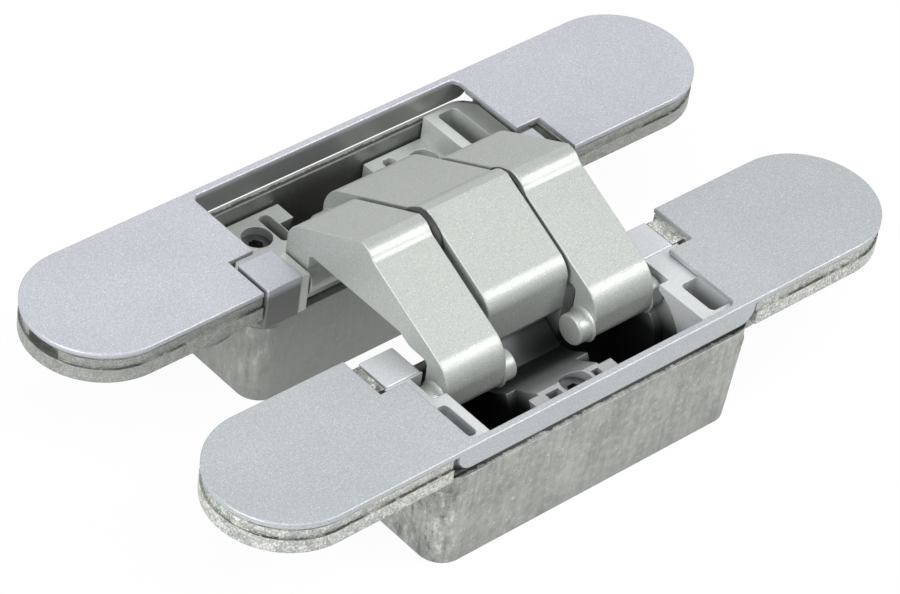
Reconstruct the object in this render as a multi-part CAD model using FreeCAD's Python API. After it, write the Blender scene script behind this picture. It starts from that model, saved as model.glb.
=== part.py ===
"""Concealed door hinge, three-arm scissor type, built at 180 degrees open.

X runs along the hinge, Y crosses it from the near half (negative) to the far
half (positive), Z is up.  Z = 0 is the underside of both pockets and Y = 0 is
the plane midway between the halves, which the scissor pin always stays on.
Most shapes are drawn for the far half in (x, s, z): s is the distance from the
middle plane and z the height above the top of the cover.
"""
import FreeCAD, Part
import math
import os

V = FreeCAD.Vector

# distances across the hinge: from the middle of a half, then from the pivot, the slider and the body
body_inner_reach = 10.58
body_outer_reach = 10.82
notch_reach = 3.38
rail_reach = 9.85
pivot_reach = 8.33
slider_reach = 1.8
leg_inner_reach = 1.53
leg_outer_reach = 3.15
belly_knee_reach = 5.93
slider_inner_reach = 2.28
slider_outer_reach = 2.3
beam_width = 5.35
bracket_front_step = 0.6
bracket_back_reach = 6.0
far_adjuster_reach = 5.27
near_adjuster_reach = 5.4

# plates
plate_length = 116.0
plate_width = 22.0
half_spacing = 38.26
centre_s = half_spacing / 2.0
cover_thickness = 0.8
joint_overlap = 0.2
flange_bottom = -5.0
flange_step_z = -2.8
flange_inset_upper = 0.4
flange_inset_lower = 0.05
body_depth = 21.5

# housing pocket
body_half_length = 28.4
body_inner_s = centre_s - body_inner_reach
body_outer_s = centre_s + body_outer_reach
wall_end = 1.5
wall_facing = 1.35
wall_outer = 1.25
floor_thickness = 1.3
body_corner_radius = 4.0
draft_end = 0.9
draft_outer = 0.36
lower_corner_radius = 3.6
cutout_z = -7.0
rail_seat_z = -5.4
rail_seat_half_length = 27.6
pocket_corner_radius = 3.0
boss_radius = 6.8
boss_x = 31.6
boss_bottom = -10.6
straight_bottom = -8.0
buried_top = -2.0

# recess in the upper step of the far flange at its left end
end_recess_depth = 1.8
end_recess_before = 3.7
end_recess_after = 1.9

# how far a cutting shape reaches past what it cuts
above = 1.0

# cover
window_half_length = 24.0
notch_half_length = 28.3
opening_step = 0.25
notch_s = centre_s - notch_reach
rail_inner_s = centre_s + rail_reach
rail_half_length = 26.9
rail_depth = 3.8
rail_seat_width = 3.0
rail_corner_radius = 2.4
window_corner_radius = 1.2
tongue_x = 46.0
tongue_offset_s = 6.6
tongue_length = 2.4
tongue_width = 1.2
tongue_depth = 2.4
tongue_clearance = 0.03
tongue_bottom_gap = 0.6

# wood screws through the flange
mount_x = 43.0
mount_hole_radius = 2.6
mount_head_radius = 4.6

# linkage: fixed pivot, scissor pin and slider in half coordinates
pivot_s = centre_s - pivot_reach
pivot_z = -3.2
scissor_z = 6.2
slider_s = centre_s - slider_reach
slider_z = -4.1
closed_gap = 5.2
ridge_z = 10.73

# arms, places along X
left_arm_x0 = -19.8
left_arm_x1 = -9.4
centre_arm_x0 = -8.2
centre_arm_x1 = 6.3
right_arm_x0 = 6.9
right_arm_x1 = 17.6
# the outer arms are set back beside their pivots, where the walls between the arms stand
set_back_left = 1.2
set_back_right = 1.8
set_back_radius = 6.0

# arm profile
slope = 0.49
lip_s = 1.4
lip_z = 10.5
valley_s = 2.2
valley_z = 9.9
crease_s = 2.77
crease_z = 9.21
leg_inner_s = pivot_s - leg_inner_reach
leg_outer_s = pivot_s + leg_outer_reach
belly_z = 1.7
belly_knee_s = slider_s - belly_knee_reach
belly_knee_z = 0.7
belly_low_z = 0.6
slider_leg_inner_s = slider_s - slider_inner_reach
slider_leg_outer_s = slider_s + slider_outer_reach
trunnion_radius = 2.3
trunnion_length = 2.4
knuckle_radius = 2.7
shoulder_round = 3.4
bend_round = 4.4
ridge_round = 0.4
lip_round = 0.5
valley_round = 0.6

# pins and washers
pivot_pin_radius = 1.5
scissor_pin_radius = 2.0
pin_clearance = 0.03
pin_grip = 0.001
scissor_pin_depth = 7.0
washer_radius = 4.35
washer_side_play = 0.06
washer_clearance = 0.02

# carriages
carriage_play_end = 0.3
carriage_play_side = 0.3
carriage_floor_gap = 0.2
end_block_top = -1.0
groove_play = 0.05
groove_end_play = 0.25
arm_side_play = 0.45
near_right_side_play = 0.95
sweep_play = 0.45
near_room_margin = 1.2
far_room_margin = 0.35
lug_thickness = 2.2
lug_radius = 2.6
lug_arm_gap = 0.3
lug_bracket_gap = 0.15
middle_lug_gap = 0.35
near_lug_root = 0.5
far_lug_root = 2.0
carriage_corner_bevel = 2.1
base_beam_outer_s = body_inner_s + beam_width
base_beam_top = -10.2
shoulder_gap = 0.05
near_block_top = -5.3
near_block_x0 = -8.5
far_block_top = -8.0
far_right_top = -4.1
far_left_block_x1 = -8.4
far_right_block_x0 = 7.4
far_wall_x = 18.1
bracket_gap = 0.1

# cored recesses of the carriages: x0, x1, reach0, reach1 from the middle of the half, bottom, corner radius
near_recesses = ((-24.7, -22.9, 2.07, 8.67, -9.0, 0.8), (20.8, 24.3, 2.27, 8.67, -9.0, 0.8),
                 (-5.9, -3.6, 4.97, 8.27, -8.0, 0.0), (2.35, 3.7, 4.97, 8.27, -8.0, 0.0))
far_recesses = ((-12.9, -11.0, 2.47, 8.47, -12.0, 0.8), (9.8, 11.8, 4.47, 8.47, -12.0, 0.8),
                (19.9, 23.4, 0.47, 8.47, -12.0, 0.8))

# brackets in the corners of the opening
bracket_front_s = body_inner_s - bracket_front_step
bracket_back_s = body_inner_s + bracket_back_reach
near_bracket_x = ((-26.2, -20.35), (18.55, 24.4))
far_bracket_x = ((-27.7, -21.8), (20.0, 25.9))
bracket_edge = 0.4

# adjusting screws, threaded through a carriage into the floor of its housing
adjuster_clearance = 0.05
adjuster_sink = 1.4
socket_radius = 1.15
socket_depth = 1.3
far_adjuster_x = (-15.4, 15.4)
far_adjuster_s = centre_s + far_adjuster_reach
far_adjuster_radius = 2.2
near_adjuster_x = -0.6
near_adjuster_s = centre_s + near_adjuster_reach
near_adjuster_radius = 2.35

# how finely the computed paths are drawn
groove_steps = 12
outline_steps = 24
room_steps = 36

os.makedirs("parts", exist_ok=True)


def box(x0, x1, s0, s1, z0, z1):
    """Box between two corners in half coordinates."""
    return Part.makeBox(x1 - x0, s1 - s0, z1 - z0, V(x0, s0, z0 + body_depth))


def cyl_x(x0, x1, s, z, radius):
    """Cylinder along X."""
    return Part.makeCylinder(radius, x1 - x0, V(x0, s, z + body_depth), V(1, 0, 0))


def cyl_z(x, s, z0, z1, radius):
    """Upright cylinder."""
    return Part.makeCylinder(radius, z1 - z0, V(x, s, z0 + body_depth), V(0, 0, 1))


def stadium(inset, z0, z1):
    """Plate with fully round ends, centred on the half."""
    radius = plate_width / 2.0 - inset
    reach = (plate_length - plate_width) / 2.0
    low = z0 + body_depth
    mid = Part.makeBox(2 * reach, 2 * radius, z1 - z0, V(-reach, centre_s - radius, low))
    left = Part.makeCylinder(radius, z1 - z0, V(-reach, centre_s, low))
    right = Part.makeCylinder(radius, z1 - z0, V(reach, centre_s, low))
    return mid.fuse([left, right]).removeSplitter()


def fillet_where(shape, radius, chosen):
    """Round the edges for which chosen(edge) is true."""
    edges = [edge for edge in shape.Edges if chosen(edge)]
    return shape.makeFillet(radius, edges)


def chamfer_where(shape, size, chosen):
    """Bevel the edges for which chosen(edge) is true."""
    edges = [edge for edge in shape.Edges if chosen(edge)]
    return shape.makeChamfer(size, edges)


def upright(edge):
    """True for a straight edge along Z."""
    if len(edge.Vertexes) != 2:
        return False
    a = edge.Vertexes[0].Point
    b = edge.Vertexes[1].Point
    return abs(a.x - b.x) < 1e-6 and abs(a.y - b.y) < 1e-6


def near(shape):
    """Mirror a far-half shape into the near half."""
    return shape.mirror(V(0, 0, 0), V(0, 1, 0))


def save(name, shape):
    """Write one node as one solid."""
    solids = shape.Solids
    if len(solids) != 1:
        raise RuntimeError("%s has %d solids" % (name, len(solids)))
    if not shape.isValid():
        raise RuntimeError(name + " is not valid")
    solids[0].exportStep("parts/" + name + ".step")
    print(name, round(shape.Volume, 1))


# Linkage law: the arms turn against the middle plane in constant ratio to the door
pivot_radius = math.hypot(pivot_s, scissor_z - pivot_z)
pivot_angle = math.atan2(scissor_z - pivot_z, pivot_s)
closed_turn = math.acos((closed_gap / 2.0 - pivot_z) / pivot_radius) - pivot_angle
arm_travel = math.pi / 2.0 + closed_turn
print("arm travel %.4f deg, arm to arm %.4f deg" % (math.degrees(arm_travel), math.degrees(2 * closed_turn)))


def to_half(ds, dz, fraction):
    """Take a point given from the scissor pin into half coordinates at a fraction of the travel."""
    turn = closed_turn * fraction
    swing = math.pi / 2.0 * fraction
    ps = pivot_radius * math.cos(pivot_angle + turn)
    pz = -pivot_radius * math.sin(pivot_angle + turn)
    es = ds - ps
    ez = dz - pz
    s = es * math.cos(swing) + ez * math.sin(swing) + pivot_s
    z = -es * math.sin(swing) + ez * math.cos(swing) + pivot_z
    return s, z


def sliding_point(s, z, fraction):
    """Place in this half of a point of the arm that slides in it."""
    turn = closed_turn * fraction
    dz = z - scissor_z
    ds = s * math.cos(turn) - dz * math.sin(turn)
    dv = s * math.sin(turn) + dz * math.cos(turn)
    return to_half(ds, dv, fraction)


def prism(points, x0, x1):
    """Prism along X on a closed outline of (s, z) points."""
    corners = [V(x0, s, z + body_depth) for s, z in points]
    face = Part.Face(Part.makePolygon(corners + [corners[0]]))
    return face.extrude(V(x1 - x0, 0, 0))


def groove(x0, x1, radius):
    """Room for a trunnion along its whole path, open to the top where the path starts."""
    path = [sliding_point(slider_s, slider_z, i / float(groove_steps)) for i in range(groove_steps + 1)]
    outer = []
    inner = []
    for i in range(groove_steps + 1):
        a = path[max(i - 1, 0)]
        b = path[min(i + 1, groove_steps)]
        length = math.hypot(b[0] - a[0], b[1] - a[1])
        ns = -(b[1] - a[1]) / length * radius
        nz = (b[0] - a[0]) / length * radius
        outer.append((path[i][0] + ns, path[i][1] + nz))
        inner.append((path[i][0] - ns, path[i][1] - nz))
    track = prism(outer + list(reversed(inner)), x0, x1)
    start = cyl_x(x0, x1, path[0][0], path[0][1], radius)
    end = cyl_x(x0, x1, path[-1][0], path[-1][1], radius)
    mouth = box(x0, x1, path[0][0] - radius, path[0][0] + radius, path[0][1], above)
    return [track, start, end, mouth]


def turning_room(outline, x0, x1):
    """Room for an arm end that turns about the fixed pivot, as one prism around the pivot."""
    dense = []
    for a, b in zip(outline, outline[1:] + outline[:1]):
        for k in range(outline_steps):
            part = k / float(outline_steps)
            dense.append((a[0] + (b[0] - a[0]) * part, a[1] + (b[1] - a[1]) * part))
    polar = []
    for s, z in dense:
        polar.append((math.atan2(z - pivot_z, s - pivot_s), math.hypot(s - pivot_s, z - pivot_z)))
    points = []
    full = 2 * math.pi
    step = full / room_steps
    for i in range(room_steps):
        angle = step * i - math.pi
        reach = knuckle_radius
        for phi, radius in polar:
            ahead = (phi - angle) % full
            if ahead <= arm_travel + step or ahead >= full - step:
                reach = max(reach, radius)
        reach += sweep_play
        points.append((pivot_s + reach * math.cos(angle), pivot_z + reach * math.sin(angle)))
    return prism(points, x0, x1)


# Outlines of the arms, given for the half in which each end works
pivot_end = [(0.0, ridge_z), (leg_outer_s, ridge_z - slope * leg_outer_s),
             (leg_outer_s, pivot_z), (leg_inner_s, pivot_z), (leg_inner_s, belly_z), (0.0, belly_z)]
sliding_end = [(0.0, ridge_z), (lip_s, lip_z), (valley_s, valley_z), (crease_s, crease_z),
               (slider_leg_outer_s, crease_z - slope * (slider_leg_outer_s - crease_s)),
               (slider_leg_outer_s, slider_z), (slider_leg_inner_s, slider_z),
               (slider_leg_inner_s, belly_low_z), (belly_knee_s, belly_knee_z),
               (leg_inner_s, belly_z), (0.0, belly_z)]


def arm(x0, x1, set_back=(0.0, 0.0)):
    """Arm pivoted in the far half and sliding in the near half, its pivot end set back on its sides."""
    outline = [(s, z) for s, z in pivot_end[:-1]]
    outline += [(-s, z) for s, z in reversed(sliding_end[1:-1])]
    body = prism(outline, x0, x1)

    def edge_at(s, z):
        def chosen(edge):
            a = edge.Vertexes[0].Point
            b = edge.Vertexes[-1].Point
            on_a = abs(a.y - s) < 1e-3 and abs(a.z - body_depth - z) < 1e-3
            return on_a and abs(b.y - s) < 1e-3 and abs(b.z - body_depth - z) < 1e-3
        return chosen

    shoulder = ridge_z - slope * leg_outer_s
    bend = crease_z - slope * (slider_leg_outer_s - crease_s)
    body = fillet_where(body, shoulder_round, edge_at(leg_outer_s, shoulder))
    body = fillet_where(body, bend_round, edge_at(-slider_leg_outer_s, bend))
    body = fillet_where(body, lip_round, edge_at(-lip_s, lip_z))
    body = fillet_where(body, valley_round, edge_at(-valley_s, valley_z))
    body = fillet_where(body, lip_round, edge_at(-crease_s, crease_z))
    body = fillet_where(body, ridge_round, edge_at(0.0, ridge_z))
    knuckle = cyl_x(x0, x1, pivot_s, pivot_z, knuckle_radius)
    trunnion = cyl_x(x0 - trunnion_length, x1 + trunnion_length, -slider_s, slider_z, trunnion_radius)
    foot = cyl_x(x0, x1, -slider_s, slider_z, slider_leg_outer_s - slider_s)
    body = body.fuse([knuckle, trunnion, foot])
    if set_back[0]:
        body = body.cut(cyl_x(x0 - above, x0 + set_back[0], pivot_s, pivot_z, set_back_radius))
    if set_back[1]:
        body = body.cut(cyl_x(x1 - set_back[1], x1 + above, pivot_s, pivot_z, set_back_radius))
    bore = cyl_x(x0 - 1, x1 + 1, pivot_s, pivot_z, pivot_pin_radius + pin_clearance)
    return body.cut(bore).removeSplitter()


def tongue_boxes(play, low):
    """Tongues that hold the cover in the flange, or their slots with some play."""
    boxes = []
    half_x = tongue_length / 2.0 + play
    half_s = tongue_width / 2.0 + play
    top = joint_overlap - cover_thickness
    for x in (-tongue_x, tongue_x):
        for s in (centre_s - tongue_offset_s, centre_s + tongue_offset_s):
            boxes.append(box(x - half_x, x + half_x, s - half_s, s + half_s, low, top))
    return boxes


def bored(shape, x, s, radius):
    """Cut the floor of a housing for an adjusting screw."""
    floor_top = floor_thickness - body_depth
    return shape.cut(cyl_z(x, s, -body_depth - above, floor_top + above, radius + pin_grip))


def build_housing():
    """Zinc housing of the far half: flange, pocket and the bosses under the flange."""
    upper = stadium(flange_inset_upper, flange_step_z, -cover_thickness)
    lower = stadium(flange_inset_lower, flange_bottom, flange_step_z)
    top = box(-body_half_length, body_half_length, body_inner_s, body_outer_s, straight_bottom, buried_top)
    top = fillet_where(top, body_corner_radius, upright)
    rings = []
    for z, ends, outer in ((-body_depth, draft_end, draft_outer), (straight_bottom, 0.0, 0.0)):
        half_x = body_half_length - ends
        ring = box(-half_x, half_x, body_inner_s, body_outer_s - outer, z, z + above)
        ring = fillet_where(ring, lower_corner_radius, upright)
        face = min(ring.Faces, key=lambda f: f.CenterOfMass.z)
        rings.append(face.OuterWire)
    lofted = Part.makeLoft(rings, True, True)
    solid = upper.fuse([lower, top, lofted])
    bosses = [cyl_z(side * boss_x, centre_s, boss_bottom, buried_top, boss_radius) for side in (-1, 1)]
    solid = solid.fuse(bosses)
    inner = box(-body_half_length + wall_end, body_half_length - wall_end, body_inner_s + wall_facing,
                body_outer_s - wall_outer, -body_depth + floor_thickness, above)
    inner = fillet_where(inner, pocket_corner_radius, upright)
    solid = solid.cut(inner)
    # the wall that faces the other half is open between the brackets
    opening = notch_half_length - opening_step
    solid = solid.cut(box(-opening, opening, 0.0, notch_s, cutout_z, above))
    # seat for the deep rail of the cover
    solid = solid.cut(box(-rail_seat_half_length, rail_seat_half_length, rail_inner_s - rail_seat_width,
                          centre_s + plate_width, rail_seat_z, above))
    for side in (-1, 1):
        x = side * mount_x
        solid = solid.cut(cyl_z(x, centre_s, boss_bottom - above, 0.0, mount_hole_radius))
        head_depth = mount_head_radius - mount_hole_radius
        cone = Part.makeCone(mount_hole_radius, mount_head_radius, head_depth,
                             V(x, centre_s, body_depth - cover_thickness - head_depth), V(0, 0, 1))
        solid = solid.cut(cone)
    solid = solid.cut(tongue_boxes(tongue_clearance, -cover_thickness - tongue_depth - tongue_bottom_gap))
    return solid


def build_cover():
    """Painted cover: two caps and the deep rail between them in one piece."""
    plate = stadium(0.0, -cover_thickness, 0.0)
    outer_s = centre_s + plate_width / 2.0
    window = box(-window_half_length, window_half_length, 0.0, rail_inner_s, -cover_thickness - above, above)
    window = fillet_where(window, window_corner_radius, upright)
    notch = box(-notch_half_length, notch_half_length, 0.0, notch_s, -cover_thickness - above, above)
    plate = plate.cut(window).cut(notch)
    rail_top = joint_overlap - cover_thickness
    rail = box(-rail_half_length, rail_half_length, rail_inner_s, outer_s, -rail_depth, rail_top)

    def low_corner(edge):
        if len(edge.Vertexes) != 2:
            return False
        a = edge.Vertexes[0].Point
        b = edge.Vertexes[1].Point
        return abs(a.y - b.y) > 1.0 and max(a.z, b.z) < body_depth - rail_depth + 0.01

    rail = fillet_where(rail, rail_corner_radius, low_corner)
    return plate.fuse([rail] + tongue_boxes(0.0, -cover_thickness - tongue_depth)).removeSplitter()


def carriage_blank():
    """Outside limits of a carriage inside the pocket."""
    x1 = body_half_length - wall_end - carriage_play_end
    s0 = body_inner_s + wall_facing + carriage_play_side
    s1 = body_outer_s - wall_outer - carriage_play_side
    z0 = -body_depth + floor_thickness + carriage_floor_gap
    return x1, s0, s1, z0


def lug(a, b, low):
    """Upright wall that holds one end of a pivot pin, clear of the wall that faces the other half."""
    s0 = carriage_blank()[1]
    low_neck = cutout_z + 2 * shoulder_gap
    neck = box(a, b, pivot_s - lug_radius, pivot_s + lug_radius, low_neck, pivot_z + lug_radius)
    foot = box(a, b, s0, pivot_s + lug_radius, low, cutout_z + 4 * shoulder_gap)
    return neck.fuse(foot)


def kept_in_pocket(solid):
    """Trim a carriage to the room of the pocket and of the open wall above it."""
    x1, s0, s1, z0 = carriage_blank()
    pocket = chamfer_where(box(-x1, x1, s0, s1, z0, 0.0), carriage_corner_bevel, upright)
    front = box(-x1, x1, 0.0, s0 + carriage_corner_bevel, cutout_z + shoulder_gap, 0.0)
    return solid.common(pocket.fuse(front)).removeSplitter()


def cored(solid, recesses):
    """Cut the cored recesses, the larger ones with round corners."""
    for x0, x1, reach0, reach1, low, radius in recesses:
        room = box(x0, x1, centre_s + reach0, centre_s + reach1, low, above)
        solid = solid.cut(fillet_where(room, radius, upright) if radius else room)
    return solid


def end_block(x0, x1, top):
    """End of a carriage: low behind the bracket, high towards the outer wall."""
    s0, s1, z0 = carriage_blank()[1:]
    low = box(x0, x1, s0, s1, z0, cutout_z - shoulder_gap)
    return low.fuse(box(x0, x1, bracket_back_s + bracket_gap, s1, z0, top))


def build_near_carriage():
    """Carriage of the near half, drawn in far coordinates: carries the centre arm's pivot."""
    x1, s0, s1, z0 = carriage_blank()
    left = end_block(-x1, left_arm_x0 - arm_side_play, end_block_top)
    right = end_block(right_arm_x1 + near_right_side_play, x1, end_block_top)
    beam = box(-x1, x1, s0, base_beam_outer_s, z0, base_beam_top)
    mid = box(near_block_x0, right_arm_x0 - arm_side_play, s0, s1, z0, near_block_top)
    solid = left.fuse([right, beam, mid])
    # room for the centre arm on its whole swing
    margin = near_room_margin
    solid = solid.cut(turning_room(pivot_end, centre_arm_x0 - margin, centre_arm_x1 + margin))
    solid = solid.fuse([lug(a, b, base_beam_top - near_lug_root) for a, b in near_lugs])
    # paths of the outer arms' trunnions
    reach = trunnion_length + groove_end_play
    for a, b in ((left_arm_x0, left_arm_x1), (right_arm_x0, right_arm_x1)):
        solid = solid.cut(groove(a - reach, b + reach, trunnion_radius + groove_play))
    solid = cored(solid, near_recesses)
    solid = solid.cut(cyl_z(near_adjuster_x, near_adjuster_s, -body_depth, above,
                            near_adjuster_radius + adjuster_clearance))
    solid = solid.cut(cyl_x(near_lugs[0][0], near_lugs[-1][1], pivot_s, pivot_z, pivot_pin_radius + pin_grip))
    return kept_in_pocket(solid)


def build_far_carriage():
    """Carriage of the far half: carries the pivots of the outer arms."""
    x1, s0, s1, z0 = carriage_blank()
    beam = box(-x1, x1, s0, base_beam_outer_s, z0, base_beam_top)
    left = box(-x1, far_left_block_x1, s0, s1, z0, far_block_top)
    right = box(far_right_block_x0, x1, s0, s1, z0, far_block_top)
    left_end = end_block(-x1, left_arm_x0 - arm_side_play, far_block_top)
    right_end = end_block(far_wall_x, x1, far_right_top)
    solid = left.fuse([right, beam, left_end, right_end])
    for a, b in ((left_arm_x0, left_arm_x1), (right_arm_x0, right_arm_x1)):
        solid = solid.cut(turning_room(pivot_end, a - far_room_margin, b + far_room_margin))
    solid = solid.fuse([lug(a, b, base_beam_top - far_lug_root) for a, b in far_lugs])
    reach = trunnion_length + groove_end_play
    solid = solid.cut(groove(centre_arm_x0 - reach, centre_arm_x1 + reach, trunnion_radius + groove_play))
    solid = cored(solid, far_recesses)
    bore_radius = far_adjuster_radius + adjuster_clearance
    for x in far_adjuster_x:
        solid = solid.cut(cyl_z(x, far_adjuster_s, -body_depth, above, bore_radius))
    for pair in (far_lugs[:2], far_lugs[2:]):
        solid = solid.cut(cyl_x(pair[0][0], pair[1][1], pivot_s, pivot_z, pivot_pin_radius + pin_grip))
    return kept_in_pocket(solid)


def build_bracket(x0, x1):
    """Painted corner piece that closes the end of the opening."""
    blank = box(x0, x1, bracket_front_s, bracket_back_s, cutout_z, 0.0)

    def rim(edge):
        bound = edge.BoundBox
        return bound.ZMin > body_depth - 1e-4 or (upright(edge) and bound.YMax < bracket_front_s + 1e-4)

    return chamfer_where(blank, bracket_edge, rim)


def build_adjuster(x, s, top, radius):
    """Socket screw that holds a carriage to the housing floor."""
    screw = cyl_z(x, s, -body_depth, top - adjuster_sink, radius)
    corners = []
    for i in range(6):
        angle = math.radians(60 * i)
        corners.append(V(x + socket_radius * math.cos(angle), s + socket_radius * math.sin(angle),
                         top - adjuster_sink + body_depth))
    socket = Part.Face(Part.makePolygon(corners + [corners[0]])).extrude(V(0, 0, -socket_depth))
    return screw.cut(socket)


def scissor_bore(shape, x0, x1):
    """Bore for the scissor pin."""
    return shape.cut(cyl_x(x0, x1, 0.0, scissor_z, scissor_pin_radius + pin_clearance))


# where the walls that hold the pivot pins stand
near_lugs = ((centre_arm_x0 - lug_arm_gap - lug_thickness, centre_arm_x0 - lug_arm_gap),
             (centre_arm_x1 + lug_arm_gap, centre_arm_x1 + lug_arm_gap + lug_thickness))
far_lugs = ((far_bracket_x[0][1] + lug_bracket_gap, left_arm_x0 - arm_side_play),
            (left_arm_x1 - set_back_left + middle_lug_gap, centre_arm_x0 - middle_lug_gap),
            (centre_arm_x1 + middle_lug_gap, right_arm_x0 + set_back_right - middle_lug_gap),
            (far_wall_x, far_bracket_x[1][0] - lug_bracket_gap))

# arms with their pin and washers
pin_x0 = left_arm_x1 - scissor_pin_depth
pin_x1 = right_arm_x0 + scissor_pin_depth
left_arm = arm(left_arm_x0, left_arm_x1, (0.0, set_back_left))
right_arm = arm(right_arm_x0, right_arm_x1, (set_back_right, 0.0))
save("outer_arm_left", scissor_bore(left_arm, pin_x0 - lug_arm_gap, left_arm_x1 + above))
save("outer_arm_right", scissor_bore(right_arm, right_arm_x0 - above, pin_x1 + lug_arm_gap))
centre_arm = near(arm(centre_arm_x0, centre_arm_x1))
save("centre_arm", scissor_bore(centre_arm, centre_arm_x0 - above, centre_arm_x1 + above))
save("scissor_pin", cyl_x(pin_x0, pin_x1, 0.0, scissor_z, scissor_pin_radius))
arm_gaps = ((left_arm_x1, centre_arm_x0), (centre_arm_x1, right_arm_x0))
for hand, gap in zip(("left", "right"), arm_gaps):
    ring = cyl_x(gap[0] + washer_side_play, gap[1] - washer_side_play, 0.0, scissor_z, washer_radius)
    bore = cyl_x(gap[0], gap[1], 0.0, scissor_z, scissor_pin_radius + washer_clearance)
    save("washer_" + hand, ring.cut(bore))

# housings and covers
housing = build_housing()
housing_near = bored(housing, near_adjuster_x, near_adjuster_s, near_adjuster_radius)
end_recess = box(-plate_length / 2.0, end_recess_depth - plate_length / 2.0, centre_s - end_recess_before,
                 centre_s + end_recess_after, flange_step_z, -cover_thickness)
housing_far = bored(housing.cut(end_recess), far_adjuster_x[0], far_adjuster_s, far_adjuster_radius)
housing_far = bored(housing_far, far_adjuster_x[1], far_adjuster_s, far_adjuster_radius)
save("housing_far", housing_far.removeSplitter())
save("housing_near", near(housing_near).removeSplitter())
cover = build_cover()
save("cover_far", cover)
save("cover_near", near(cover))

# carriages, their screws and pivot pins
save("carriage_near", near(build_near_carriage()))
save("carriage_far", build_far_carriage())
near_screw = build_adjuster(near_adjuster_x, near_adjuster_s, near_block_top, near_adjuster_radius)
save("adjuster_near", near(near_screw))
for hand, x in zip(("left", "right"), far_adjuster_x):
    save("adjuster_far_" + hand, build_adjuster(x, far_adjuster_s, far_block_top, far_adjuster_radius))
save("pivot_pin_near", near(cyl_x(near_lugs[0][0], near_lugs[-1][1], pivot_s, pivot_z, pivot_pin_radius)))
for hand, pair in (("left", far_lugs[:2]), ("right", far_lugs[2:])):
    save("pivot_pin_far_" + hand, cyl_x(pair[0][0], pair[1][1], pivot_s, pivot_z, pivot_pin_radius))

# brackets
for hand, near_x, far_x in zip(("left", "right"), near_bracket_x, far_bracket_x):
    save("bracket_near_" + hand, near(build_bracket(near_x[0], near_x[1])))
    save("bracket_far_" + hand, build_bracket(far_x[0], far_x[1]))
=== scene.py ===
"""Looks of a concealed door hinge with three folding arms, shown open flat.

Sizes are in millimetres while a piece is drawn and in metres once it is placed.
The finishes and the castings that come from the frame are given in metres.
Most shapes are drawn for the far half as (x, s, z): s is the distance from the
middle plane and z the height above the top of the covers.
"""

import logging
import math
from dataclasses import dataclass
from enum import Enum
from typing import Callable, Dict, Iterable, List, Optional, Sequence, Tuple, Union

import bmesh
import bpy
from bmesh.types import BMEdge, BMesh, BMFace, BMVert
from bpy.types import Material, Object
from mathutils import Euler, Matrix, Vector


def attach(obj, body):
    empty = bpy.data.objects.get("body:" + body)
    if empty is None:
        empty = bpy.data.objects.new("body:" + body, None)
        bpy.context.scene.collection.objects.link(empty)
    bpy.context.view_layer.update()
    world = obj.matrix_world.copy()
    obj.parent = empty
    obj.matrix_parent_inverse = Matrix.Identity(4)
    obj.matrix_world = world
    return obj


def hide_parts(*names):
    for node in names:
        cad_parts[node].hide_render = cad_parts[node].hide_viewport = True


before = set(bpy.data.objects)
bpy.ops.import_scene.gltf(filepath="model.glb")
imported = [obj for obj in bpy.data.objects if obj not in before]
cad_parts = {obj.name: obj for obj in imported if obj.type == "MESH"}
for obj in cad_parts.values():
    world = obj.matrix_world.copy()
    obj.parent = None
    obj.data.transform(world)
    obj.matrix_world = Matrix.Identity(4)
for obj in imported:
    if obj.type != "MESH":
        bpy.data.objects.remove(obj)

MM = 0.001
COVER_TOP = 21.5
MIDDLE_S = 19.13
X_AXIS = Vector((1.0, 0.0, 0.0))
S_AXIS = Vector((0.0, 1.0, 0.0))
Z_AXIS = Vector((0.0, 0.0, 1.0))
WHITE = (1.0, 1.0, 1.0, 1.0)
# Bends in degrees beyond which an edge counts as a rim, all round and on a cover's top
RIM_BEND = 60.0
TOP_BEND = 35.0
Pair = Tuple[float, float]
Span = Tuple[float, float]
Point = Tuple[float, float, float]
Colour = Tuple[float, float, float]


class Half(Enum):
    """The two halves of the hinge, as the sign of Y."""

    FAR = 1.0
    NEAR = -1.0

    @property
    def body(self) -> str:
        """Return the body that the pieces of the half ride on."""
        return self.name.lower() + "_half"

    def placed(self) -> Matrix:
        """Return the transform from half coordinates in millimetres to the frame in metres."""
        side = Matrix.Diagonal((1.0, self.value, 1.0, 1.0))
        return Matrix.Scale(MM, 4) @ side @ Matrix.Translation((0, 0, COVER_TOP))


class Wire:
    """A value that flows in a node tree, with arithmetic."""

    def __init__(self, tree: "Tree", socket: bpy.types.NodeSocket) -> None:
        """Wrap one output socket."""
        self.tree = tree
        self.socket = socket

    def _with(self, operation: str, *values: Union["Wire", float]) -> "Wire":
        """Return a Math node's result."""
        return self.tree.node("ShaderNodeMath", {"operation": operation}, *values)

    def __add__(self, other: Union["Wire", float]) -> "Wire":
        """Add."""
        return self._with("ADD", self, other)

    __radd__ = __add__

    def __mul__(self, other: Union["Wire", float]) -> "Wire":
        """Multiply."""
        return self._with("MULTIPLY", self, other)

    __rmul__ = __mul__

    def __sub__(self, other: Union["Wire", float]) -> "Wire":
        """Subtract."""
        return self._with("SUBTRACT", self, other)

    def __rsub__(self, other: Union["Wire", float]) -> "Wire":
        """Subtract from a number."""
        return self._with("SUBTRACT", other, self)

    def __abs__(self) -> "Wire":
        """Return the value without its sign."""
        return self._with("ABSOLUTE", self)

    def near(self, middle: float, reach: float) -> "Wire":
        """Return 1 within a reach of a value and 0 elsewhere."""
        return self._with("COMPARE", self, middle, reach)

    def between(self, start: float, full: float) -> "Wire":
        """Return a smooth mask that is 0 before start and 1 past full, which may be the lower one."""
        settings = {"interpolation_type": "SMOOTHSTEP"}
        return self.tree.node("ShaderNodeMapRange", settings, self, start, full, 0.0, 1.0)


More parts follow.
